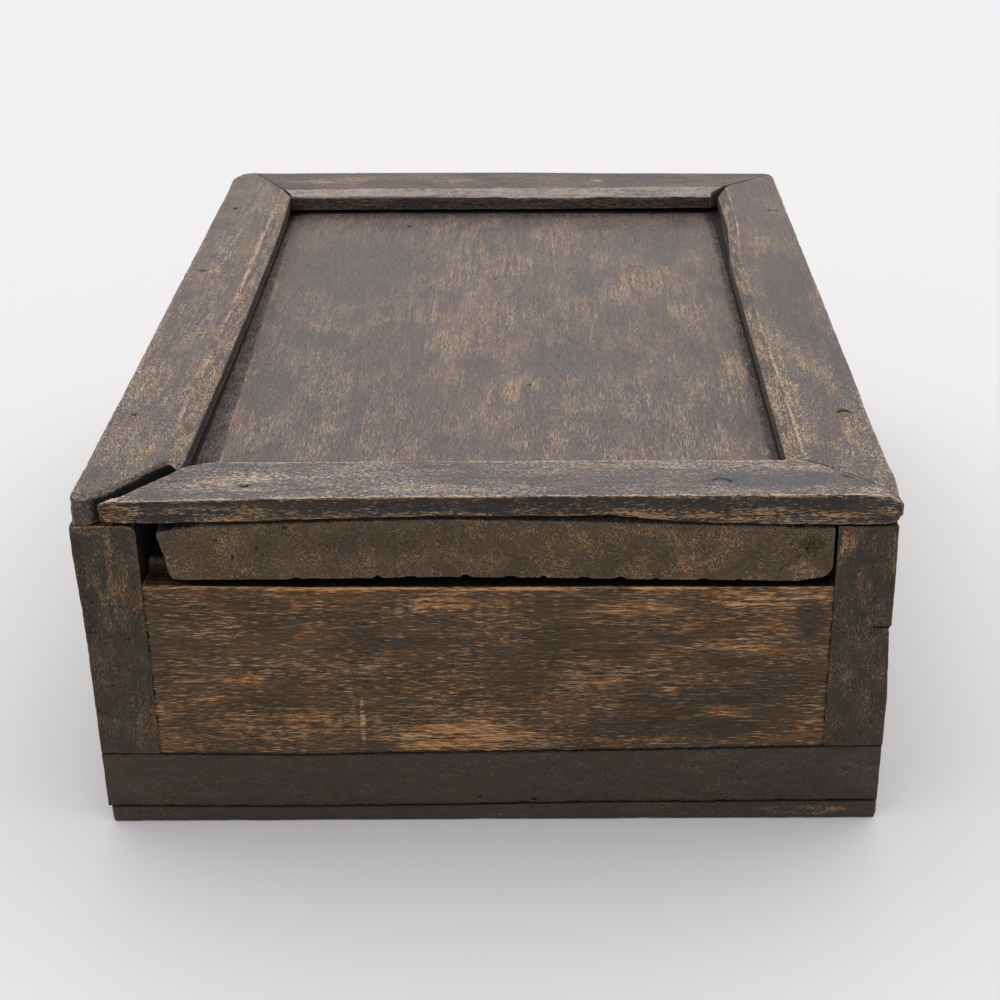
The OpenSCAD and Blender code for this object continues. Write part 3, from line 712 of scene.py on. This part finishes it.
def cutRail(ends, edgeAt, side, wall, axis=0, corner=False, under=hollow, wider=still, bow=still):
    def bend(points, low, high):               # the cut ends, the hollow underneath, the bevelled edge
        x, y, z = points.T
        cutEnds(points, 1 - axis, low, high, *ends(points[:, axis]))
        if corner:
            roundArris(points, boxLow, boxHigh, "right", "back", np.full(len(points), backRound["right"]))
        up = (z - low[2]) / (high[2] - low[2])
        dropTip(points, up)
        left = np.interp(x, (-105, 0, 60, 105), (1.0, 0.8, 0.3, 0.0))
        back = smooth((y - 131) / 19)          # the back rail stands out and up towards its left end
        y += 1.5 * left * back
        z += 0.8 * left * back * up
        z += np.where(side * (points[:, axis] - wall) > 0, under, 0.0) * (1 - up)
        along = y.copy()
        wide = bevel["width"] + np.interp(along, *wider)
        deep = bevel["height"] - smooth((30 - x) / 90) * smooth((along - 60) / 60)
        slope = np.hypot(deep, wide)
        acrossX, acrossZ = deep / slope, wide / slope
        wavy = (0.4 + 0.5 * axis) * lumps(points, 16, 3.3)
        wavy += (0.25 + 0.2 * axis) * lumps(points, 5, 5.3)
        over = (side * (points[:, axis] - edgeAt) + wide + wavy) * acrossX
        over += (z - high[2]) * acrossZ
        over = (over + np.sqrt(over ** 2 + 0.1)) / 2
        points[:, axis] -= side * over * acrossX
        z -= over * acrossZ
        inner = np.clip(1 + side * (points[:, axis] - edgeAt) / (wide + 3), 0, 1)
        points[:, axis] += side * np.interp(along, *bow) * inner
        return points
    return bend


def leftEnds(x):
    start = np.interp(x, (-106.4, -105.0, -103.2, -100.3, -96, -93.2, -88.5, -85),
                      (-150, -149.2, -147.6, -144.9, -138.3, -133.3, -127.4, -128.9))
    backCut = backLow[0] - 0.1
    stop = leftHigh[1] - np.clip(x - backCut, 0, None) * (leftHigh[1] - backLow[1]) / (leftHigh[0] - backCut)
    return start, stop


mitre = ((-148.5, -147.1, -137, -126.8), (110, 108.2, 98, 86.4))     # the closed joint on the right: y, x


def rightEnds(x):
    start = np.interp(-x, [-v for v in mitre[1]], mitre[0])
    return start, halfDepth - (halfWidth - x) * (halfDepth - backLow[1]) / (halfWidth - rightLow[0])


def backEnds(y):
    share = (backHigh[1] - y) / (backHigh[1] - backLow[1])
    stop = halfWidth - share * (halfWidth - rightLow[0]) - 0.03
    return backLow[0] + share * (leftHigh[0] - backLow[0]), stop


leftWider = ((-125, -111, -78, -45, 0, 75, 124), (0, 0.95, 2.1, 0.5, 0.6, 0.5, 0))
leftBow = ((-135, -105, -60, 0, 75, 100, 124), (0, 0.4, 0.8, 1.3, 1.1, 0.8, 0))
rightWider = ((-120, -80, -20, 48, 86, 127), (1.1, 0.8, 0, 0, 1.8, 1.8))
rightBow = ((48, 57, 67, 77, 86, 127), (0, -0.8, -1.5, -2.1, -2.7, -2.6))
makeBoard("leftRail", "box", [wood["railY"], wood["railEnd"]], dict(
    node="left_rail", seed=21, grain=1, step=(1.3, 1.8, 1.2), wear=0.05, crisp=(1.25, 1, 0.55, 0.35),
    exact=(
        (-106.4, -104.8, backLow[0] - 0.1, -93.95, -94.05, -90.2, -89.4, -88.9, -88.5, -88.1), (), (100.8,)),
    # painted shade on its slanted front end, its underside and its inner face
    corners=("left",), soilAndShade=dict(front=1, bottom=0.9, right=0.85), cleanLeftOf=-106,
    bands=[strip(0, -88.2, -84, 0.6, deep=3.2, worn=0.3, rough=1)],
    edges=dict(
        topLeft=rim(0.8, 0.45, reach=2.4), topFront=rim(4, 0), topRight=rim(worn=0.3), leftFront=rim(1.6),
        bottomFront=rim(worn=1.6, reach=0.9), topBack=closed),
    growLow=(-0.8, 0, 0), tight=("back",), cleanFace="right",
    wornLines=[dict(
        at=(-88.5, None, leftHigh[2]), worn=2.4, reach=0.9, moved=(leftWider[0], [-v for v in leftWider[1]]),
        along=(
            (-120, -105, -95, -85, -60, -52, -45, -25, -12, 0, 92, 120),
            (0.1, 0.2, 0.8, 0.2, 0.1, 0.8, 0.2, 0.1, 0.9, 1, 1, 0.5)))],
    worn=dict(top=[
        (-88, 4, 2.2, 6, 0.6), (-89, -50, 1.8, 6, 0.5), (-100, 60, 7, 30, 0.35), (-97, -115, 7, 20, 0.15),
        (-103, -70, 6, 20, 0.2), (-101, 32, 2.4, 3, 0.6), (-96, 100, 6, 16, 0.3), (-98, 10, 9, 60, 0.2)]),
    grime=dict(top=[(-98, -60, 7, 20, 0.3), (-98, 0, 7, 22, 0.1), (-107, -138, 4, 12, 0.4)]),
    marks=[
        dent("top", -104, 106, 0.9, 1.4, 0.6), dent("top", -104.8, 32.6, 2, 0.8, 0.8, turn=-8),
        dent("top", -104, -94.5, 0.75, 0.85, 1.2)],
    bend=cutRail(leftEnds, leftHigh[0], 1, -94, wider=leftWider, bow=leftBow)))
makeBoard("rightRail", "box", [wood["railY"], wood["railEnd"]], dict(
    node="right_rail", seed=22, grain=1, step=(1.3, 1.8, 1.2), wear=0, crisp=(1.05, 0.85, 0.38, 0.25),
    exact=((85.6, 86, 86.4, 86.8, 87.2, 93.95, 94.05, 98, 108.2), (), (100.8,)),
    # painted shade on its front end, its underside and its inner face
    soilAndShade=dict(front=0.8, bottom=0.9, left=0.6), tight=("back", "front"), cleanFace="left",
    growHigh=(-0.3, 0, 0), bands=[strip(0, 81.5, 85.7, 0.6, deep=3.2, worn=0.5, rough=1)],
    edges=dict(
        topRight=rim(0.8, 0.45, reach=2), topFront=rim(0.5, 0, chip=1.5), topLeft=rim(worn=0.3),
        topBack=closed),
    wornLines=[dict(
        at=(86, None, rightHigh[2]), worn=2.6, reach=0.7, moved=rightWider,
        along=((-123, -100, -60, -40, -20, 0, 50, 70, 130), (1.1, 1.1, 1.1, 0.8, 0.3, 0.1, 0.3, 0.9, 0.9)))],
    worn=dict(top=[
        (89, -60, 3, 50, 0.3), (104, -110, 5, 14, 0.3), (95, 60, 6, 24, 0.2), (90, -112, 3, 8, 0.5),
        (97, -60, 5, 10, 0.3)]),
    grime=dict(top=[
        (99, 10, 9, 60, 0.75), (96, -85, 5, 16, 0.5), (106, -60, 4, 40, 0.6), (94, -125, 6, 8, 0.4)]),
    marks=[
        dent("top", 103.6, 97.5, 0.5, 75, 0.5, ring=(2.2, 2.6), bare=0.8, bareReach=0.9, reach=3.6,
             facing=70),
        dent("top", 102.6, -97, 0.45, 80, 0.8, ring=(2.1, 3.2), bare=1.6, bareReach=0.9, reach=4.2)],
    bend=cutRail(rightEnds, rightLow[0], -1, 94, corner=True, wider=rightWider, bow=rightBow)))
makeBoard("backRail", "box", [wood["railXWithSheen"], wood["railEnd"]], dict(
    node="back_rail", seed=23, grain=0, step=(1.8, 1.3, 1.2), wear=-0.1, crisp=(1, 1, 0.45, 0.4),
    # painted shade on its underside and its inner front face
    exact=((), (130.1, 130.5, 130.9, 137.95, 138.05), (100.8,)), soilAndShade=dict(bottom=0.9, front=0.45),
    cleanFace="front", wornLines=[dict(at=(None, 130.5, backHigh[2]), worn=2, reach=1.2)],
    # the bevel strip: painted sheen in the cross rail finish's pale grime colour, over wear
    bands=[strip(1, 126, 130.4, 0.6, deep=3.1, worn=1, grime=0.95, rough=1)],
    worn=dict(top=[(-70, 141, 22, 5, 0.7), (-20, 140, 16, 4, 0.5), (60, 141, 20, 4, 0.3)]),
    tight=("left", "right"), edges=dict(topRight=closed, topLeft=closed, topFront=rim(worn=1, chip=2)),
    marks=[dent("top", 38, 140, 0.5, 0.6, 0.3, dirt=0.2, bare=1)],
    bend=cutRail(backEnds, backLow[1], -1, 138, 1, True, under=0.4)))

# The lid: a plank with the front rail nailed on it
railLift = (
    (-104, -86, -50, -15, 34, 47, 60, 83, 107, 109, 110),
    (0, 0, 0.9, 1.7, 1.6, 0.2, -0.6, -1.4, -1.3, -0.9, 0.1))
lidRise = ((-88, -76, -50, -16, 20, 47, 70, 92), (-0.8, -0.5, 0.3, 1, 0.4, -0.7, -1.4, -1.9))
lidDrop = ((-82, -50, -10, 51, 84, 92), (-0.3, -0.15, 0.35, -0.9, -1.55, -0.1))
railSag = ((-103, -90, -80, -62, -35), (1, 1.1, 0.75, 0.4, 0))          # the top front edge dips at the left
lidLeft = ((79, 79.6, 81.2, 86.9, 93.1, 96), (6.6, 3.4, 2.2, 1.5, 0, 0))
joint = ((-150, -148.6, -146.4, -140.7, -136.4, -132.5, -130.6, -128.9, -127.2),      # the open joint: y, x
         (-104.6, -101.2, -98.4, -93.4, -88.7, -85.4, -84, -81.2, -74))


def bendFrontRail(points, low, high):
    x, y, z = points.T
    start = np.interp(y, *joint)
    stop = np.interp(y, (low[1], *mitre[0]), (high[0], high[0] + 0.1, *mitre[1][1:])) - 0.12
    cutEnds(points, 0, low, high, start, stop)
    up = (z - low[2]) / (high[2] - low[2])
    knot = smooth((-93 - x) / 8) * nearFront(points, 6)
    z += 0.5 * knot * lumps(points, (3.0, 3.0, 1.6), 77.7)
    y += 0.5 * knot * lumps(points, (3.0, 3.0, 1.3), 79.7)
    nose = np.clip((-99 - x) / 5.5, 0, 1) ** 2 * nearFront(points, 8)
    z += nose * (1.6 - 2.8 * up)
    z -= up * np.interp(x, *railSag) * nearFront(points, 22)
    dropTip(points, up)
    z += np.interp(x, *railLift) * (1 - up) * nearFront(points, 18)
    return points


def bendLid(points, low, high):
    x, y, z = points.T
    share = np.clip((x - low[0]) / 30, 0, 1)
    up = (z - low[2]) / (high[2] - low[2])
    x += np.interp(z, *lidLeft) * (1 - share)
    z -= 1.2 * up * np.clip(1 - (x - low[0]) / 11, 0, 1)
    z += np.interp(x, *lidRise) * up * nearFront(points, 26)
    z += np.interp(x, *lidDrop) * (1 - up) * nearFront(points, 9)
    z -= up * smooth((y - 96) / 31) * np.interp(x, (-80, 0, 60), (0.8, 0.95, 1.4))
    return points


makeBoard("frontRail", "lid", [wood["railFrontSheen"], wood["railEnd"], wood["railFace"]], dict(
    node="front_rail", seed=24, grain=0, step=(1.2, 1.2, 1), wear=0, growLow=(-2, 0, 0),
    growHigh=(0.3, 0, 0), faceFinish="front", tight=("right",), loose=0.8,
    exact=((), (-148.5, -147.1, -137), ()),
    # its top front edge: wear with a painted highlight
    edges=dict(
        topFront=rim(0.8, 2.8, reach=1.2, chip=1.6), bottomFront=rim(0.7, 0.5, reach=2.5, chip=1.2),
        topBack=rim(0.6, 2.6, reach=1.5), rightFront=rim(1.4, 0.2, chip=0.2), bottomRight=rim(2.2, chip=0),
        topRight=rim(0.2, 0, chip=0.3), topLeft=rim(1.2, 0.6, chip=1.5), leftFront=rim(1.5, 0.8)),
    # painted shade on its underside and its ends
    soilAndShade=dict(bottom=1, left=1, right=0.5),
    worn=dict(front=[
        (-77, 99, 24, 3.5, 0.6), (56, 97.5, 11, 2.5, 0.8), (-14, 98.5, 22, 2.2, 0.5),
        (107, 99, 2.8, 2.4, 2.4), (-98, 100, 7, 4, 1), (60, 98, 40, 2.6, 0.7), (96, 97.5, 14, 2.2, 0.9),
        (-45, 98.4, 14, 1.8, 0.4)], top=[
        (-99, -148, 5, 3, 1.2), (104, -146, 6, 3.5, 0.9), (-20, -145, 30, 3, 0.4), (40, -131, 30, 3, 0.4),
        (95, -133, 9, 4, 0.6), (-68, -141, 20, 9, 0.5)]),
    grime=dict(top=[
        (-92, -143, 7, 5, 0.4), (75, -140, 22, 8, 1), (5, -139, 20, 5, 0.4), (102, -143, 6, 4, 0.6)], front=[(
        0, 101.8, 125, 2.6, 0.5)]),
    marks=[
        dent("top", -65, -142, 1.6, 0.45, 0.8, turn=18), dent("top", -76, -139.5, 0.8, 0.35, 0.3),
        dent("top", 62.8, -141.5, 0.34, 85, 0.7, ring=(2.7, 1.9), bare=0.7, bareReach=0.9, reach=3.6,
             facing=75),
        dent("top", 107, -138.6, 1.6, 0.6, 0.6, turn=-50)],
    bend=bendFrontRail))
makeBoard("lidBoard", "lid", [wood["lid"], wood["lidEnd"]], dict(
    node="lid_board", seed=25, grain=1, step=(1.5, 2, 1.2), wear=-0.05, crisp=(1.9, 1.35, 0.7, 0.6),
    edges=dict(
        bottomRight=rim(4, chip=0), bottomFront=rim(0.5, 0.3, chip=1.8), topFront=rim(0.5, 0.1),
        bottomLeft=rim(0.8, chip=0.3), leftFront=rim(0.5, 0.6), topLeft=rim(0.5, 0.4),
        rightFront=rim(0.3, chip=0.5)),
    # painted shade along the gaps beside both rails and under the back rail, with dirt, and a worn line
    bands=[
        strip(0, -90, -84.3, 0.5, dirt=0.4, rough=0.6), strip(0, -87, -84.3, 0.6, dirt=0.6, rough=0),
        strip(0, -90, -78.2, 1.2, dirt=0.5, rough=0.9, lean=0.024),
        strip(0, -78.3, -77.3, 0.8, worn=0.7, lean=0.024), strip(0, 80.2, 82.6, 1.8, dirt=0.55, rough=0.7),
        strip(0, 82.2, 85, 0.6, dirt=0.6, rough=0), strip(0, 82.2, 95, 0.6, dirt=0.4, rough=0.6),
        strip(1, 119, 139, 6, dirt=0.3, rough=0.9), strip(1, 126.4, 132, 1.4, dirt=0.7, rough=0.4)],
    # painted shade on its underside and on its edges under the rails
    exact=([-84.5 + 0.8 * k for k in range(10)], (), ()), soilAndShade=dict(bottom=0.9, left=0.5, right=0.8),
    tight=("right",), growLow=(-0.5, 0, 0), growHigh=(-0.5, 0, 0),
    worn=dict(top=[
        (-11, 57, 9, 54, 0.6), (-16, -18, 9, 18, 0.6), (-40, 5, 7, 7, 0.5), (4, 57, 11, 26, 0.6),
        (50, 42, 12, 24, 0.7), (40, 31, 9, 10, 0.5), (65, 11, 9, 13, 0.9), (46, -54, 4, 20, 0.7),
        (76, -46, 6, 28, 0.7), (9, -56, 8, 13, 0.7), (67, -98, 5, 13, 1.2), (-50, -86, 5, 7, 0.7),
        (-24, -102, 5, 11, 0.7), (-28, 13, 12, 18, 0.5), (19, 98, 10, 18, 0.5), (-19, 105, 12, 18, 0.5),
        (15, 50, 80, 90, 0.25), (-60, -6, 0.9, 1.8, 1.5), (-59, -26, 0.9, 1.6, 1.5),
        (-58, -39, 0.9, 1.6, 1.5)], front=[
        (56, 83, 9, 4, 0.8), (86, 81, 6, 3, 0.8), (54, 91, 12, 4, 0.5), (-66, 82, 1.6, 1.8, 1.2),
        (20, 84, 14, 3, 0.3)]),
    grime=dict(top=[
        (-61, -14, 14, 11, 1), (-69, -58, 9, 22, 1), (-5, -37, 9, 8, 0.8), (25, -35, 19, 19, 0.8),
        (50, -38, 4, 4, 0.5), (-53, 55, 28, 38, 0.7), (54, 85, 19, 23, 0.5), (81, -81, 6, 30, 0.5),
        (-50, -118, 22, 10, 0.7), (10, -118, 20, 8, 0.5), (-66, -112, 10, 16, 0.6)], front=[(
        -30, 90, 30, 5, 0.3)]),
    # darker spots; those on the top near the back are painted shade under the back rail
    dirty=dict(front=[(87, 89, 5, 3.5, 0.45)], top=[(58, 110, 42, 14, 0.24), (0, 108, 80, 12, 0.07)]),
    marks=[
        dent("top", -37, 108, 1.3, 1.5, 0.5, plane=95.9), dent("top", 11, -54, 1, 0.8, 0.5, plane=95.9),
        dent("front", -54, 94.6, 0.9, 0.4, 0.8)]
    + [dent("front", x, z, wide, high, deep, reach=2.6, gap=0.5) for x, z, wide, high, deep in (
        (-52, 79, 1.8, 0.5, 1), (-30, 79.1, 1.1, 0.8, 1.4), (-21, 79, 2, 0.5, 1.2),
        (-6, 79.1, 1.5, 0.8, 1.5), (6, 79, 2, 0.6, 1.2), (15, 79.1, 1, 0.8, 1.5), (26, 79, 2, 0.6, 1.1),
        (36, 79.1, 1.2, 0.7, 1.4), (45, 79, 0.8, 0.6, 1.2), (58, 79, 1.4, 0.6, 1.3), (68, 79, 0.9, 0.7, 1.3),
        (86, 89.5, 0.5, 0.4, 0.5), (84, 87.4, 0.4, 0.5, 0.5), (88, 87, 0.5, 0.3, 0.5),
        (81.5, 90.6, 0.4, 0.3, 0.4), (-69, 86, 0.3, 1.2, 0.5), (-73, 91.3, 0.9, 0.25, 0.5),
        (-62, 88.5, 0.3, 0.8, 0.4))],
    bend=bendLid))
print("rails and lid")

# Pegs and nails
rodSides = 18
dome = ((0.02, 0.1), (0.55, 0.02), (0.88, 0.06), (1, 0.3))       # the outer end: share of radius, depth


def makeRods(name, node, body, material, rods):      # a rod: outer end, axis, way, radius, length, head
    points, quads = [], []
    for number, (end, axis, way, radius, length, head) in enumerate(rods):
        outline = [(share * (head or radius), depth) for share, depth in dome]
        outline += [(head, 0.8), (radius, 0.85)] if head else [(radius, 1.2)]
        outline += [(radius, length - 0.4), (radius * 0.7, length), (0.02, length)]
        first = len(points)
        flat = [a for a in range(3) if a != axis]
        for r, depth in outline:
            for k in range(rodSides):
                turn = 2 * math.pi * k / rodSides
                spot = Vector((math.cos(turn), math.sin(turn), number * 3.1 + depth))
                size = r * (1 + 0.1 * noise.noise(spot * 1.7))
                place = list(end)
                place[flat[0]] += size * math.cos(turn)
                place[flat[1]] += size * math.sin(turn)
                place[axis] -= way * (depth + 0.12 * noise.noise(spot * 2.3) * (depth < 1))
                points.append([v / metre for v in place])
        last = len(points) - rodSides
        turned = (way > 0) == (axis != 1)
        for ring in range(first, last, rodSides):
            for k in range(rodSides):
                a, b = ring + k, ring + (k + 1) % rodSides
                quad = (a, b, b + rodSides, a + rodSides)
                quads.append(quad[::-1] if turned else quad)
        cap, tail = tuple(range(first, first + rodSides)), tuple(range(last, len(points)))
        quads += [cap, tail[::-1]] if turned else [cap[::-1], tail]
    mesh = bpy.data.meshes.new(name)
    mesh.from_pydata(points, [], quads)
    paintTone(mesh, np.tile([0.1, 0.0, 0.1, 1.0], len(points)))
    mesh.materials.append(material)
    mesh.update()
    piece = addObject(name, mesh)
    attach(piece, body)
    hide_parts(node)


nail = Tree("nail_iron")
nail.paint("Base Color", nail.mix(nail.noise((0.6, 0.6, 0.6)), (0.02, 0.018, 0.017), (0.07, 0.035, 0.02)))
nail.paint("Metallic", 0.4)
nail.paint("Roughness", 0.7)
iron = nail.material
railPegs = {
    "left": [(-104, -95), (-104, -31), (-104, 33), (-104, 97)],
    "right": [(102.6, -97), (104, -31), (104, 33), (103.6, 97.5)],
    "back": [(-90, 144), (-26, 144), (38, 144)]}
raisedPeg = railPegs["right"][0]   # it stands up out of its hole, and is thicker


def pegAt(spot):
    sunk = 0.1 if spot == raisedPeg else 1.6 if spot[0] < -95 else 0.35
    return (*spot, leftHigh[2] - sunk), 2, 1, 2.0 if spot == raisedPeg else 1.5, 29.5, None


for side, places in railPegs.items():
    pegs = [pegAt(spot) for spot in places]
    makeRods(side + "Pegs", side + "_rail_pegs", "box", wood["peg"], pegs)
makeRods("frontRailNails", "front_rail_nails", "lid", iron, [
    ((x, -141, frontHigh[2] - 0.5), 2, 1, 0.9, 21.4, 1.5) for x in (-65.5, -1.5, 62.5)])
nailHeights = (38.5, 67.5)
for end, y, sunk in (("front", -145.25, ((-1, -1.1), (-1, -0.5))), ("back", 144, ((0.9, 0.9), (0.3, 0.3)))):
    makeRods(end + "Nails", end + "_board_nails", "box", iron, [
        ((side * (halfWidth - sunk[side > 0][row] - 0.25), y, z), 0, side, 0.9, 34.8, 1.6)
        for side in (-1, 1) for row, z in enumerate(nailHeights)])
for node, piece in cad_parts.items():
    if not piece.hide_render:
        piece.data.materials.clear()
        piece.data.materials.append(iron if "nails" in node else wood["peg"])
print("pegs and nails")

# The photograph's camera, its angles in degrees
view = dict(lens=66.27, place=(15.14, -586.55, 318.03), yaw=-0.1227, pitch=26.25, roll=-0.3557, shift=-0.04)
studio = dict(
    sky=(1, 0.985, 0.99, 1), skyStrength=0.5, sun=2.0, sunWidth=110, sunTilt=-25, groundReach=3.0,
    ground=(0.82, 0.81, 0.815))


def makeCamera():
    yaw, pitch, roll = (math.radians(view[k]) for k in ("yaw", "pitch", "roll"))
    ahead = Vector((math.sin(yaw) * math.cos(pitch), math.cos(yaw) * math.cos(pitch), -math.sin(pitch)))
    right = Vector((math.cos(yaw), -math.sin(yaw), 0))
    up = right.cross(ahead)
    right, up = right * math.cos(roll) + up * math.sin(roll), up * math.cos(roll) - right * math.sin(roll)
    data = bpy.data.cameras.new("camera")
    data.lens, data.shift_x, data.sensor_width = view["lens"], view["shift"], 36
    data.clip_start, data.clip_end = 0.02, 30
    camera = addObject("camera", data)
    turned = Matrix((right, up, -ahead)).transposed()
    camera.matrix_world = Matrix.Translation(Vector(view["place"]) / metre) @ turned.to_4x4()
    bpy.context.scene.camera = camera


def makeStudio():
    world = bpy.data.worlds.new("studio")
    bpy.context.scene.world = world
    world.use_nodes = True
    world.node_tree.nodes["Background"].inputs[0].default_value = studio["sky"]
    world.node_tree.nodes["Background"].inputs[1].default_value = studio["skyStrength"]
    data = bpy.data.lights.new("soft_light", "SUN")
    data.energy, data.angle = studio["sun"], math.radians(studio["sunWidth"])
    addObject("soft_light", data).rotation_euler = (math.radians(studio["sunTilt"]), 0, 0)
    mesh = bpy.data.meshes.new("floor")
    far = studio["groundReach"]
    mesh.from_pydata([(-far, -far, 0), (far, -far, 0), (far, far, 0), (-far, far, 0)], [], [(0, 1, 2, 3)])
    paint = Tree("pale_floor")
    paint.paint("Base Color", studio["ground"])
    paint.paint("Roughness", 0.9)
    mesh.materials.append(paint.material)
    ground = addObject("floor", mesh)


makeCamera()
makeStudio()
bpy.context.scene.view_settings.view_transform = "Standard"
print("camera and light")
